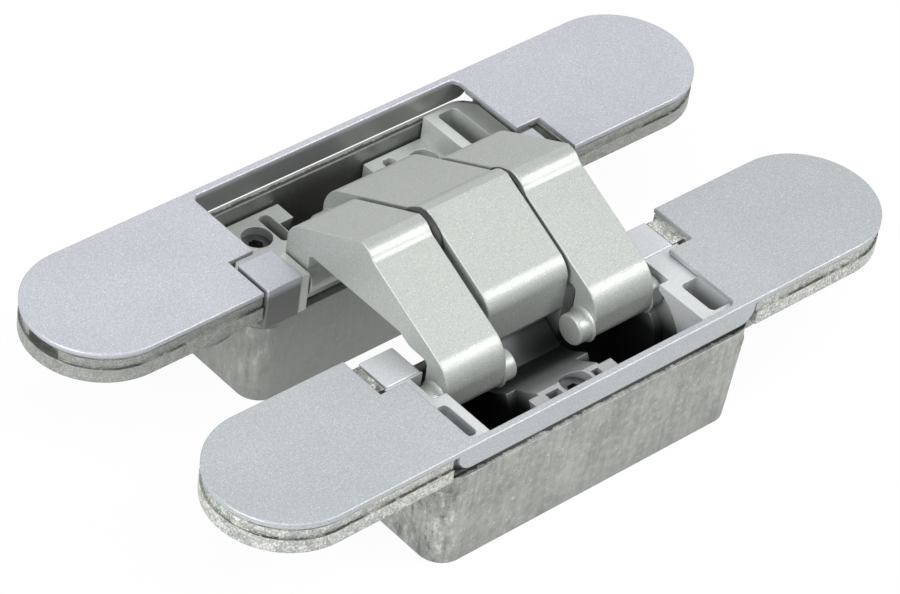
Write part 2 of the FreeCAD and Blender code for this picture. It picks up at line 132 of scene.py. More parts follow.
class Tree:
    """A node tree of a material or of the world, with a short way to add nodes."""

    def __init__(self, owner: Union[Material, bpy.types.World]) -> None:
        """Take hold of the owner's tree.

        Args:
            owner: The material or the world.
        """
        owner.use_nodes = True
        self.owner = owner
        self.nodes = owner.node_tree.nodes
        self.links = owner.node_tree.links

    def node(self, kind: str, settings: Dict[str, object], *values: Union[Wire, float, Sequence[float], None],
             output: Optional[str] = None) -> Wire:
        """Add a node.

        Args:
            kind: The node's type.
            settings: Attributes that are set before the sockets.
            *values: Values or wires of the first sockets, None to leave one alone.
            output: Which output is wanted, the first enabled one by default.

        Returns:
            The wanted output.
        """
        made = self.nodes.new(kind)
        for key, value in settings.items():
            setattr(made, key, value)
        sockets = [socket for socket in made.inputs if socket.enabled]
        for socket, value in zip(sockets, values):
            if isinstance(value, Wire):
                self.links.new(value.socket, socket)
            elif value is not None:
                socket.default_value = value
        enabled = [socket for socket in made.outputs if socket.enabled]
        return Wire(self, made.outputs[output] if output else enabled[0])

    def seen_white(self) -> Wire:
        """Return 1 for rays from the camera, a mirror or a clear body, and 0 for the others."""
        rays = [self.node("ShaderNodeLightPath", {}, output="Is %s Ray" % ray)
                for ray in ("Camera", "Glossy", "Transmission")]
        return (rays[0] + rays[1] + rays[2]).between(0.0, 1.0)


class Surface(Tree):
    """The tree of one surface material around its Principled shader."""

    def __init__(self, name: str) -> None:
        """Start a material.

        Args:
            name: The material's name.
        """
        super().__init__(bpy.data.materials.new(name))
        self.shader = self.nodes["Principled BSDF"]
        self.place = self.node("ShaderNodeTexCoord", {}, output="Object")

    @property
    def material(self) -> Material:
        """Return the material."""
        return self.owner

    def along(self, axis: Sequence[float]) -> Wire:
        """Return how far along an axis the place is, in metres."""
        return self.node("ShaderNodeVectorMath", {"operation": "DOT_PRODUCT"}, self.place, axis)

    def stretched(self, scale: Sequence[float]) -> Wire:
        """Return the place scaled along each axis."""
        return self.node("ShaderNodeVectorMath", {"operation": "MULTIPLY"}, self.place, scale)

    def noise(self, scale: float, detail: float = 3.0, place: Optional[Wire] = None, rough: float = 0.55) -> Wire:
        """Return a noise from 0 to 1.

        Args:
            scale: Features per metre.
            detail: Octaves.
            place: Where the noise is read, the object's own place by default.
            rough: How much the finer octaves show.

        Returns:
            The noise.
        """
        return self.node("ShaderNodeTexNoise", {}, place or self.place, scale, detail, rough)

    def mixed(self, share: Union[Wire, float], a: Union[Wire, Colour], b: Union[Wire, Colour]) -> Wire:
        """Return a colour between a and b."""
        values = [value if isinstance(value, Wire) else (*value, 1.0) for value in (a, b)]
        return self.node("ShaderNodeMix", {"data_type": "RGBA"}, share, *values)

    def layered(self, base: Wire, *layers: Tuple[Wire, float, Colour]) -> Wire:
        """Lay colours over a base, one after the other.

        Args:
            base: The colour underneath.
            *layers: The mask, the strength and the colour of each layer.

        Returns:
            The colour on top.
        """
        for mask, strength, colour in layers:
            base = self.mixed(mask * strength, base, colour)
        return base

    def feed(self, socket: str, value: Union[Wire, float, Colour]) -> None:
        """Set or link one socket of the shader.

        Args:
            socket: The socket's name.
            value: What it takes.
        """
        if isinstance(value, Wire):
            self.links.new(value.socket, self.shader.inputs[socket])
        elif isinstance(value, tuple):
            self.shader.inputs[socket].default_value = (*value, 1.0)
        else:
            self.shader.inputs[socket].default_value = value

    def bump(self, height: Wire, strength: float, distance: float, edge: float = 0.0) -> None:
        """Feed the shader's normal from a height.

        Args:
            height: The relief.
            strength: Share of the relief that shows.
            distance: Height in metres of a full step.
            edge: Radius in metres by which sharp edges look worn round.
        """
        worn = self.node("ShaderNodeBevel", {"samples": 6}, edge) if edge else None
        self.feed("Normal", self.node("ShaderNodeBump", {}, strength, distance, None, height, worn))


@dataclass(frozen=True)
class RawZinc:
    """Bare die-cast zinc: fine mottling, specks and upright drag marks, darker towards the bottom, with painted shade
    in gaps, in the pocket and on the far housing, and a painted glint on the flange's top.

    Lengths are in metres and scales in features per metre. A span is where a mask
    starts and where it is full.
    """

    name: str = "raw_zinc"
    dark: Colour = (0.21, 0.22, 0.205)
    middle: Colour = (0.38, 0.395, 0.37)
    bright: Colour = (0.80, 0.805, 0.77)
    # Near-black for sooty smears and pits, and for the painted shadow lines and painted pocket shade
    soot: Colour = (0.03, 0.031, 0.03)
    metallic: float = 0.62
    roughness: float = 0.40
    roughness_rise: float = 0.16
    relief: float = 0.30
    relief_height: float = 0.0001
    edge: float = 0.00022
    cloud_scale: float = 140.0
    mottle_scale: float = 900.0
    speck_scale: float = 3600.0
    drag_scale: Point = (1500.0, 1500.0, 90.0)
    scuff_scale: Point = (700.0, 700.0, 240.0)
    tone_span: Span = (0.33, 0.63)
    dull_span: Span = (0.35, 0.7)
    fleck_span: Span = (0.57, 0.76)
    pit_span: Span = (0.38, 0.29)
    glitter_span: Span = (0.42, 0.64)
    scratch_span: Span = (0.52, 0.66)
    smear_span: Span = (0.47, 0.36)
    worn_span: Span = (0.42, 0.58)
    flange_z: Span = (0.0155, 0.0172)
    ends_x: Span = (0.0235, 0.0270)
    ends_z: Span = (0.0165, 0.0155)
    far_s: Span = (0.0, 0.008)
    foot_z: Span = (0.006, 0.0)
    waver: float = 0.0004
    step_z: float = 0.01872
    step_width: float = 0.00006
    seat_z: float = 0.02022
    seat_width: float = 0.00013
    wall_top_z: float = 0.0161
    seam_width: float = 0.00008
    seam_front: Span = (0.0289, 0.0290)
    seam_back: Span = (0.0302, 0.0299)
    seam_waver: float = 0.0012
    pocket: Point = (0.027, 0.0096, 0.0288)
    pocket_blend: float = 0.0002
    pocket_z: Span = (0.0182, 0.0125)
    back_corner: Span = (0.0546, 0.0542)
    front_corner: Span = (0.0164, 0.0160)

    def build(self) -> Material:
        """Mix the metal.

        Returns:
            The finished material.
        """
        tree = Surface(self.name)
        clouds = tree.noise(self.cloud_scale, 3.0)
        mottle = tree.noise(self.mottle_scale, 4.0, rough=0.6)
        specks = tree.noise(self.speck_scale, 3.0, rough=0.7)
        drag = tree.noise(1.0, 3.0, tree.stretched(self.drag_scale))
        scuffs = tree.noise(1.0, 6.0, tree.stretched(self.scuff_scale), 0.72)
        height = tree.along(Z_AXIS)
        tone = clouds * 0.42 + mottle * 0.30 + drag * 0.28
        pits = (specks * 0.7 + mottle * 0.3).between(*self.pit_span)
        flecks = (mottle * 0.4 + specks * 0.6).between(*self.fleck_span)
        glitter = (specks * 0.65 + mottle * 0.35).between(*self.glitter_span)
        flange = height.between(*self.flange_z)
        ends = abs(tree.along(X_AXIS)).between(*self.ends_x) * height.between(*self.ends_z)
        wavy = height + mottle * self.waver - self.waver / 2.0
        # Cloud noise that breaks the painted shadow lines into patches
        worn = clouds.between(*self.worn_span) * 0.6 + 0.3
        base = tree.layered(
            tree.mixed(tone.between(*self.tone_span), self.dark, self.middle),
            (flecks, 1.0, self.bright),
            (pits, 0.6, self.dark),
            # Painted glint: brighter specks and a slight lightening on the flange's top faces
            (flange * (glitter * 0.75 + 0.05), 1.0, self.bright),
            (flange * pits, 0.6, self.soot),
            (ends * scuffs.between(*self.scratch_span), 0.55, self.bright),
            (ends * scuffs.between(*self.smear_span), 0.6, self.soot),
            # Painted shade: the far housing is darker as a whole
            (tree.along(S_AXIS).between(*self.far_s), 0.65, self.dark),
            # Darker towards the bottom
            (height.between(*self.foot_z), 0.3, self.dark),
            # Painted shadow lines: one under the lower lip of the flange and one right under the cover's edge
            (wavy.near(self.step_z, self.step_width) * worn, 1.0, self.soot),
            (wavy.near(self.seat_z, self.seat_width) * worn, 1.0, self.soot),
            # Painted shadow in the gap under the cover's rail
            (self._seam(tree, height, mottle), 0.92, self.soot),
            # Painted shade on the walls inside the pocket
            (self._inside(tree, height), 0.65, self.soot))
        tree.feed("Base Color", base)
        tree.feed("Metallic", self.metallic)
        tree.feed("Roughness", tone.between(*self.dull_span) * self.roughness_rise + self.roughness)
        tree.bump(mottle * 0.45 + specks * 0.4 + drag * 0.25, self.relief, self.relief_height, self.edge)
        return tree.material

    def _seam(self, tree: Surface, height: Wire, mottle: Wire) -> Wire:
        """Find the painted shadow line on the top of the outer wall, in the gap under the cover's rail.

        Args:
            tree: The material.
            height: Height above the floor.
            mottle: The noise that frays the back of the shadow line.

        Returns:
            1 on the painted shadow line and 0 elsewhere.
        """
        across = abs(tree.along(S_AXIS))
        front = height.near(self.wall_top_z, self.seam_width) * across.between(*self.seam_front)
        return front * (across + mottle * self.seam_waver).between(*self.seam_back)

    def _inside(self, tree: Surface, height: Wire) -> Wire:
        """Find the walls inside the pocket, which take painted shade.

        Args:
            tree: The material.
            height: Height above the floor.

        Returns:
            1 where painted shade falls on the walls inside the pocket, fading towards their top.
        """
        reach, front, back = self.pocket
        blend = self.pocket_blend
        across, aside = abs(tree.along(S_AXIS)), abs(tree.along(X_AXIS))
        within = aside.between(reach + blend, reach) * across.between(front - blend, front)
        corners = (aside + across).between(*self.back_corner) * (aside - across).between(*self.front_corner)
        return within * corners * across.between(back + blend, back) * height.between(*self.pocket_z)


@dataclass(frozen=True)
class SatinPaint:
    """Silver paint with a fine metallic sparkle, and painted shade that darkens it where it lies deep.

    Lengths are in metres and scales in features per metre. A span is where a mask
    starts and where it is full.
    """

    name: str
    colour: Colour
    shade: Colour
    metallic: float
    roughness: float
    sparkle: float
    relief: float = 0.2
    edge: float = 0.0
    # Painted shade: below the deep span the paint turns to the depth colour, only on the inner side when inside is
    # given
    deep: Optional[Span] = None
    depth: Colour = (0.012, 0.013, 0.014)
    inside: Optional[Span] = None
    drift_scale: float = 60.0
    grain: float = 6500.0
    coarse_share: float = 0.45
    lit_gain: float = 1.75
    dull_gain: float = 0.82
    flake_gain: float = 1.3
    drift_span: Span = (0.3, 0.7)
    coarse_span: Span = (0.50, 0.32)
    flake_span: Span = (0.52, 0.74)
    gloss_swing: float = 0.12
    relief_height: float = 0.00004

    def build(self) -> Material:
        """Mix the paint.

        Returns:
            The finished material.
        """
        tree = Surface(self.name)
        drift = tree.noise(self.drift_scale, 2.0)
        flakes = tree.noise(self.grain, 2.0, rough=0.6)
        coarse = tree.noise(self.grain * self.coarse_share, 2.0)
        lit = tuple(min(1.0, value * self.lit_gain) for value in self.colour)
        dull = tuple(value * self.dull_gain for value in self.shade)
        base = tree.layered(
            tree.mixed(drift.between(*self.drift_span), self.shade, self.colour),
            (coarse.between(*self.coarse_span), self.sparkle, dull),
            (flakes.between(*self.flake_span), self.sparkle * self.flake_gain, lit))
        # Painted shade in recesses and on low inner walls
        if self.deep:
            base = tree.mixed(self._shallow(tree, self.deep), self.depth, base)
        tree.feed("Base Color", base)
        tree.feed("Metallic", self.metallic)
        tree.feed("Roughness", flakes * -self.gloss_swing + (self.roughness + self.gloss_swing / 2.0))
        tree.bump(flakes * 0.6 + coarse * 0.4, self.relief, self.relief_height, self.edge)
        return tree.material

    def _shallow(self, tree: Surface, deep: Span) -> Wire:
        """Find the paint that isn't deep, where no painted shade darkens it.

        Args:
            tree: The material.
            deep: Height that counts as deep, and height at which that ends.

        Returns:
            0 where the paint is deep and takes the painted shade, and 1 above it or on the outer side.
        """
        shallow = tree.along(Z_AXIS).between(*deep)
        if self.inside:
            shallow = 1.0 - (1.0 - shallow) * abs(tree.along(S_AXIS)).between(*self.inside)
        return shallow


@dataclass(frozen=True)
class BrightSteel:
    """Turned steel of the pins and screws."""

    name: str
    colour: Colour
    roughness: float
    ring_scale: Point = (6000.0, 900.0, 900.0)
    wear_scale: float = 700.0
    wear_span: Span = (0.35, 0.65)
    dark_gain: float = 0.7
    ring_relief: float = 0.15
    relief_height: float = 0.00002

    def build(self) -> Material:
        """Mix the metal.

        Returns:
            The finished material.
        """
        tree = Surface(self.name)
        rings = tree.noise(1.0, 3.0, tree.stretched(self.ring_scale))
        wear = tree.noise(self.wear_scale, 4.0)
        dark = tuple(value * self.dark_gain for value in self.colour)
        tree.feed("Base Color", tree.mixed(wear.between(*self.wear_span), dark, self.colour))
        tree.feed("Metallic", 1.0)
        tree.feed("Roughness", rings * self.ring_relief + self.roughness)
        tree.bump(rings, self.ring_relief, self.relief_height)
        return tree.material


@dataclass(frozen=True)
class BlackPlastic:
    """Moulded black plastic of the washers."""

    name: str = "washer_plastic"
    fresh: Colour = (0.006, 0.006, 0.007)
    scuffed: Colour = (0.022, 0.022, 0.024)
    roughness: float = 0.4
    scuff_scale: float = 1500.0
    scuff_span: Span = (0.4, 0.7)
    scuff_relief: float = 0.2
    relief_height: float = 0.00003

    def build(self) -> Material:
        """Mix the plastic.

        Returns:
            The finished material.
        """
        tree = Surface(self.name)
        scuff = tree.noise(self.scuff_scale, 4.0)
        tree.feed("Base Color", tree.mixed(scuff.between(*self.scuff_span), self.fresh, self.scuffed))
        tree.feed("Metallic", 0.0)
        tree.feed("Roughness", scuff * self.scuff_relief + self.roughness)
        tree.bump(scuff, self.scuff_relief, self.relief_height)
        return tree.material


# One silver paint in lit and shaded copies: the near and far covers and brackets differ by painted light and shade.
# The deep spans paint shade on the covers' inner rail walls, in the carriages' recesses and on the far brackets'
# fronts.
PAINTS: Dict[str, SatinPaint] = {
    "cover_near": SatinPaint(
        "cover_paint_near", (0.385, 0.408, 0.424), (0.356, 0.38, 0.395), metallic=0.35, roughness=0.42, sparkle=0.6,
        deep=(0.0190, 0.0210), depth=(0.17, 0.18, 0.17), inside=(0.0296, 0.0293)),
    "cover_far": SatinPaint(
        "cover_paint_far", (0.43, 0.44, 0.478), (0.398, 0.408, 0.446), metallic=0.35, roughness=0.42, sparkle=0.6,
        deep=(0.0203, 0.0213), depth=(0.20, 0.205, 0.20), inside=(0.0296, 0.0293)),
    "arm": SatinPaint(
        "arm_paint", (0.365, 0.384, 0.366), (0.346, 0.364, 0.348), metallic=0.42, roughness=0.42, sparkle=0.5,
        relief=0.5),
    "carriage_near": SatinPaint(
        "carriage_paint_near", (0.55, 0.565, 0.57), (0.51, 0.525, 0.53), metallic=0.35, roughness=0.40, sparkle=0.3,
        edge=0.0002, deep=(0.0118, 0.0186)),
    "carriage_far": SatinPaint(
        "carriage_paint_far", (0.56, 0.585, 0.565), (0.52, 0.545, 0.525), metallic=0.35, roughness=0.40, sparkle=0.3,
        edge=0.0002, deep=(0.0080, 0.0140)),
    "bracket_near": SatinPaint(
        "bracket_paint_near", (0.56, 0.58, 0.60), (0.52, 0.54, 0.56), metallic=0.35, roughness=0.42, sparkle=0.4),
    "bracket_far": SatinPaint(
        "bracket_paint_far", (0.415, 0.43, 0.47), (0.385, 0.40, 0.44), metallic=0.40, roughness=0.40, sparkle=0.4,
        deep=(0.0196, 0.0212), depth=(0.13, 0.135, 0.13)),
}


@dataclass(frozen=True)
class Finishes:
    """Every material of the hinge, built once."""

    zinc: Material
    cover_near: Material
    cover_far: Material
    arm: Material
    carriage_near: Material
    carriage_far: Material
    bracket_near: Material
    bracket_far: Material
    steel: Material
    dark_steel: Material
    plastic: Material

    @classmethod
    def build(cls) -> "Finishes":
        """Build every finish.

        Returns:
            The set of finishes.
        """
        return cls(
            zinc=RawZinc().build(),
            **{use: paint.build() for use, paint in PAINTS.items()},
            steel=BrightSteel("pin_steel", (0.62, 0.62, 0.61), 0.25).build(),
            dark_steel=BrightSteel("screw_steel", (0.16, 0.16, 0.165), 0.35).build(),
            plastic=BlackPlastic().build(),
        )


class Outline:
    """A closed outline drawn in one plane with a pen."""

    def __init__(self, mesh: BMesh, axis: Vector, start: Sequence[float]) -> None:
        """Put the pen down.

        Args:
            mesh: The mesh that takes the outline.
            axis: The normal of the plane.
            start: The first point.
        """
        self.mesh = mesh
        self.axis = axis
        self.first = mesh.verts.new(start)
        self.last = self.first
        self.edges: List[BMEdge] = []

    def line(self, *points: Sequence[float]) -> "Outline":
        """Draw straight lines.

        Args:
            *points: Where each line ends.

        Returns:
            The pen.
        """
        for point in points:
            vert = self.mesh.verts.new(point)
            self.edges.append(self.mesh.edges.new((self.last, vert)))
            self.last = vert
        return self

    def turn(self, centre: Sequence[float], degrees: float, steps: int) -> "Outline":
        """Draw an arc.

        Args:
            centre: Middle of the arc.
            degrees: How far the pen turns about it.
            steps: Number of edges.

        Returns:
            The pen.
        """
        known = set(self.mesh.edges)
        made = bmesh.ops.spin(self.mesh, geom=[self.last], cent=centre, axis=self.axis,
                              angle=math.radians(degrees), steps=steps, use_duplicate=False)
        self.last = next(item for item in made["geom_last"] if isinstance(item, BMVert))
        self.edges += [edge for edge in self.mesh.edges if edge not in known]
        return self

    def close(self) -> List[BMEdge]:
        """Draw the last line and return all edges."""
        self.edges.append(self.mesh.edges.new((self.last, self.first)))
        return self.edges


def filled(mesh: BMesh, edges: List[BMEdge]) -> List[BMFace]:
    """Fill an outline and return its flat faces."""
    made = bmesh.ops.triangle_fill(mesh, use_beauty=True, use_dissolve=False, edges=edges)
    return [item for item in made["geom"] if isinstance(item, BMFace)]


def pulled(mesh: BMesh, faces: List[BMFace], step: Sequence[float], keep: bool = False) -> List[BMFace]:
    """Extrude faces.

    Args:
        mesh: The mesh that holds them.
        faces: The faces.
        step: How far they go.
        keep: Whether a face stays behind at the old place.

    Returns:
        The moved faces.
    """
    made = bmesh.ops.extrude_face_region(mesh, geom=faces, use_keep_orig=keep)["geom"]
    verts = [item for item in made if isinstance(item, BMVert)]
    bmesh.ops.translate(mesh, vec=Vector(step), verts=verts)
    return [item for item in made if isinstance(item, BMFace)]


def thickened(mesh: BMesh, faces: List[BMFace], step: Sequence[float]) -> List[BMFace]:
    """Turn flat faces into a closed body.

    Args:
        mesh: The mesh that holds them.
        faces: The faces.
        step: The body's thickness as a direction.

    Returns:
        The moved faces.
    """
    moved = pulled(mesh, faces, step, keep=True)
    bmesh.ops.recalc_face_normals(mesh, faces=mesh.faces[:])
    return moved


def softened(mesh: BMesh, parts: Iterable[Union[BMEdge, BMVert]], width: float, segments: int,
             affect: str = "EDGES") -> None:
    """Round edges, or the corners of a flat profile.

    Args:
        mesh: The mesh that holds them.
        parts: The edges or vertices.
        width: Width of the rounding.
        segments: Steps of the rounding.
        affect: EDGES or VERTICES.
    """
    bmesh.ops.bevel(mesh, geom=list(parts), offset=width, offset_type="OFFSET", segments=segments, profile=0.5,
                    affect=affect, material=-1, clamp_overlap=False)


def creased(mesh: BMesh, least: float, chosen: Callable[[BMEdge], bool]) -> List[BMEdge]:
    """Find sharp edges.

    Args:
        mesh: The mesh that holds them.
        least: Bend in degrees that an edge has to pass.
        chosen: Tells whether an edge is wanted.

    Returns:
        The wanted edges.
    """
    limit = math.radians(least)
    edges = [edge for edge in mesh.edges if len(edge.link_faces) == 2]
    return [edge for edge in edges if edge.calc_face_angle() > limit and chosen(edge)]


def lathed(mesh: BMesh, profile: Sequence[Pair], place: Matrix, steps: int = 48) -> None:
    """Spin a profile of (along, radius) points about the local Z axis and place it.

    Args:
        mesh: The mesh that takes the shape.
        profile: Points from one end to the other, the first and last on or off the axis.
        place: Where the turned shape goes.
        steps: Steps of the full turn.
    """
    known = set(mesh.verts)
    verts = [mesh.verts.new((radius, 0.0, along)) for along, radius in profile]
    edges = [mesh.edges.new(pair) for pair in zip(verts, verts[1:])]
    bmesh.ops.spin(mesh, geom=verts + edges, cent=(0, 0, 0), axis=Z_AXIS, angle=math.tau, steps=steps, use_merge=True)
    made = [vert for vert in mesh.verts if vert not in known]
    bmesh.ops.remove_doubles(mesh, verts=made, dist=0.001)
    made = [vert for vert in mesh.verts if vert not in known]
    bmesh.ops.transform(mesh, matrix=place, verts=made)
    faces = list(dict.fromkeys(face for vert in made for face in vert.link_faces))
    bmesh.ops.recalc_face_normals(mesh, faces=faces)


def along_x(x: float, s: float, z: float) -> Matrix:
    """Return the place of a shape turned about the X direction."""
    return Matrix.Translation((x, s, z)) @ Matrix.Rotation(math.pi / 2.0, 4, "Y")


def brick(mesh: BMesh, low: Sequence[float], high: Sequence[float]) -> None:
    """Add a box between two corners.

    Args:
        mesh: The mesh that takes the box.
        low: The corner with the smallest coordinates.
        high: The corner with the largest ones.
    """
    size = Vector(high) - Vector(low)
    place = Matrix.Translation((Vector(low) + Vector(high)) / 2.0) @ Matrix.Diagonal((*size, 1.0))
    bmesh.ops.create_cube(mesh, size=1.0, matrix=place)


@dataclass
class Piece:
    """One finished piece of the scene, on its way from a drawing to its place."""

    name: str
    body: str
    slot: str
    finish: Material
    nodes: Tuple[str, ...]
    smooth: float = 42.0

    def place(self, mesh: BMesh, half: Half) -> Object:
        """Put a drawn mesh into the scene.

        Args:
            mesh: The drawing in half coordinates, freed here.
            half: Which half it was drawn for.

        Returns:
            The finished object.
        """
        bmesh.ops.transform(mesh, matrix=half.placed(), verts=mesh.verts)
        if half is Half.NEAR:
            bmesh.ops.reverse_faces(mesh, faces=mesh.faces[:])
        return self.finish_mesh(mesh)

    def finish_mesh(self, mesh: BMesh) -> Object:
        """Put a mesh that is in place already into the scene.

        Args:
            mesh: The mesh in the frame, in metres, freed here.

        Returns:
            The finished object.
        """
        data = bpy.data.meshes.new(self.name)
        mesh.to_mesh(data)
        mesh.free()
        stored = data.attributes.get("custom_normal")
        if stored:
            data.attributes.remove(stored)
        data.polygons.foreach_set("use_smooth", [True] * len(data.polygons))
        data.set_sharp_from_angle(angle=math.radians(self.smooth))
        made = bpy.data.objects.new(self.name, data)
        bpy.context.scene.collection.objects.link(made)
        weighted = made.modifiers.new("flat faces stay flat", "WEIGHTED_NORMAL")
        weighted.keep_sharp = True
        data.materials.append(self.finish)
        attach(made, self.body)
        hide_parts(*self.nodes)
        logging.info("%s: %d faces", self.name, len(data.polygons))
        return made


@dataclass
class Cover:
    """Painted cover: two round caps joined by the deep rail along the outer edge."""

    half: Half
    finish: Material
    reach: float = 47.0
    radius: float = 11.0
    thickness: float = 0.8
    notch_x: float = 28.3
    notch_s: float = 15.75
    window_x: float = 24.0
    window_round: float = 1.2
    rail_s: float = 28.98
    rail_x: float = 26.9
    rail_depth: float = 3.8
    rail_round: float = 2.4
    rim_round: float = 0.26
    rail_rim_share: float = 0.6
    tongue_x: float = 46.0
    tongue_offset: float = 6.6
    tongue: Point = (2.4, 1.2, 2.4)
    tongue_sunk: float = 0.1
    cap_steps: int = 48
    window_steps: int = 6
    rail_steps: int = 8
    margin: float = 0.01

    def build(self) -> Object:
        """Build the cover and put it in place.

        Returns:
            The finished object.
        """
        mesh = bmesh.new()
        self._plate(mesh)
        self._rail(mesh)
        self._tongues(mesh)
        name = "cover_" + self.half.name.lower()
        return Piece(name + "_dressed", self.half.body, "cover_paint", self.finish, (name,)).place(mesh, self.half)

    def _plate(self, mesh: BMesh) -> None:
        """Draw the plate and give it thickness.

        Args:
            mesh: The mesh that takes the plate.
        """
        inner, outer, bend = MIDDLE_S - self.radius, MIDDLE_S + self.radius, self.window_round
        pen = Outline(mesh, Z_AXIS, (-self.notch_x, inner, 0.0))
        pen.line((-self.reach, inner, 0.0)).turn((-self.reach, MIDDLE_S, 0.0), -180.0, self.cap_steps)
        pen.line((self.reach, outer, 0.0)).turn((self.reach, MIDDLE_S, 0.0), -180.0, self.cap_steps)
        pen.line((self.notch_x, inner, 0.0), (self.notch_x, self.notch_s, 0.0), (self.window_x, self.notch_s, 0.0))
        pen.line((self.window_x, self.rail_s - bend, 0.0))
        pen.turn((self.window_x - bend, self.rail_s - bend, 0.0), 90.0, self.window_steps)
        pen.line((bend - self.window_x, self.rail_s, 0.0))
        pen.turn((bend - self.window_x, self.rail_s - bend, 0.0), 90.0, self.window_steps)
        pen.line((-self.window_x, self.notch_s, 0.0), (-self.notch_x, self.notch_s, 0.0))
        thickened(mesh, filled(mesh, pen.close()), (0.0, 0.0, -self.thickness))
        bmesh.ops.dissolve_limit(mesh, angle_limit=math.radians(0.5), verts=mesh.verts[:], edges=mesh.edges[:])
        softened(mesh, creased(mesh, TOP_BEND, self._on_top), self.rim_round, 4)

    def _on_top(self, edge: BMEdge) -> bool:
        """Tell whether an edge lies on the upper face."""
        return all(vert.co.z > -0.001 for vert in edge.verts)

    def _rail(self, mesh: BMesh) -> None:
        """Hang the deep rail with its round lower corners under the outer strip.

        Args:
            mesh: The mesh that takes the rail.
        """
        outer, low, top = MIDDLE_S + self.radius, -self.rail_depth, -self.thickness
        reach, bend = self.rail_x, self.rail_round
        known = set(mesh.faces)
        pen = Outline(mesh, S_AXIS, (-reach, outer, top))
        pen.line((reach, outer, top), (reach, outer, low + bend))
        pen.turn((reach - bend, outer, low + bend), 90.0, self.rail_steps)
        pen.line((bend - reach, outer, low)).turn((bend - reach, outer, low + bend), 90.0, self.rail_steps)
        thickened(mesh, filled(mesh, pen.close()), (0.0, self.rail_s - outer, 0.0))
        new = {edge for face in mesh.faces if face not in known for edge in face.edges}
        under = top - self.margin
        rims = creased(mesh, RIM_BEND, lambda edge: edge in new and min(vert.co.z for vert in edge.verts) < under)
        softened(mesh, rims, self.rim_round * self.rail_rim_share, 3)

    def _tongues(self, mesh: BMesh) -> None:
        """Add the tongues that hold the cover in the flange.

        Args:
            mesh: The mesh that takes the tongues.
        """
        length, width, depth = self.tongue
        low, high = -self.thickness - depth, -self.thickness + self.tongue_sunk
        for x in (-self.tongue_x, self.tongue_x):
            for s in (MIDDLE_S - self.tongue_offset, MIDDLE_S + self.tongue_offset):
                brick(mesh, (x - length / 2, s - width / 2, low), (x + length / 2, s + width / 2, high))


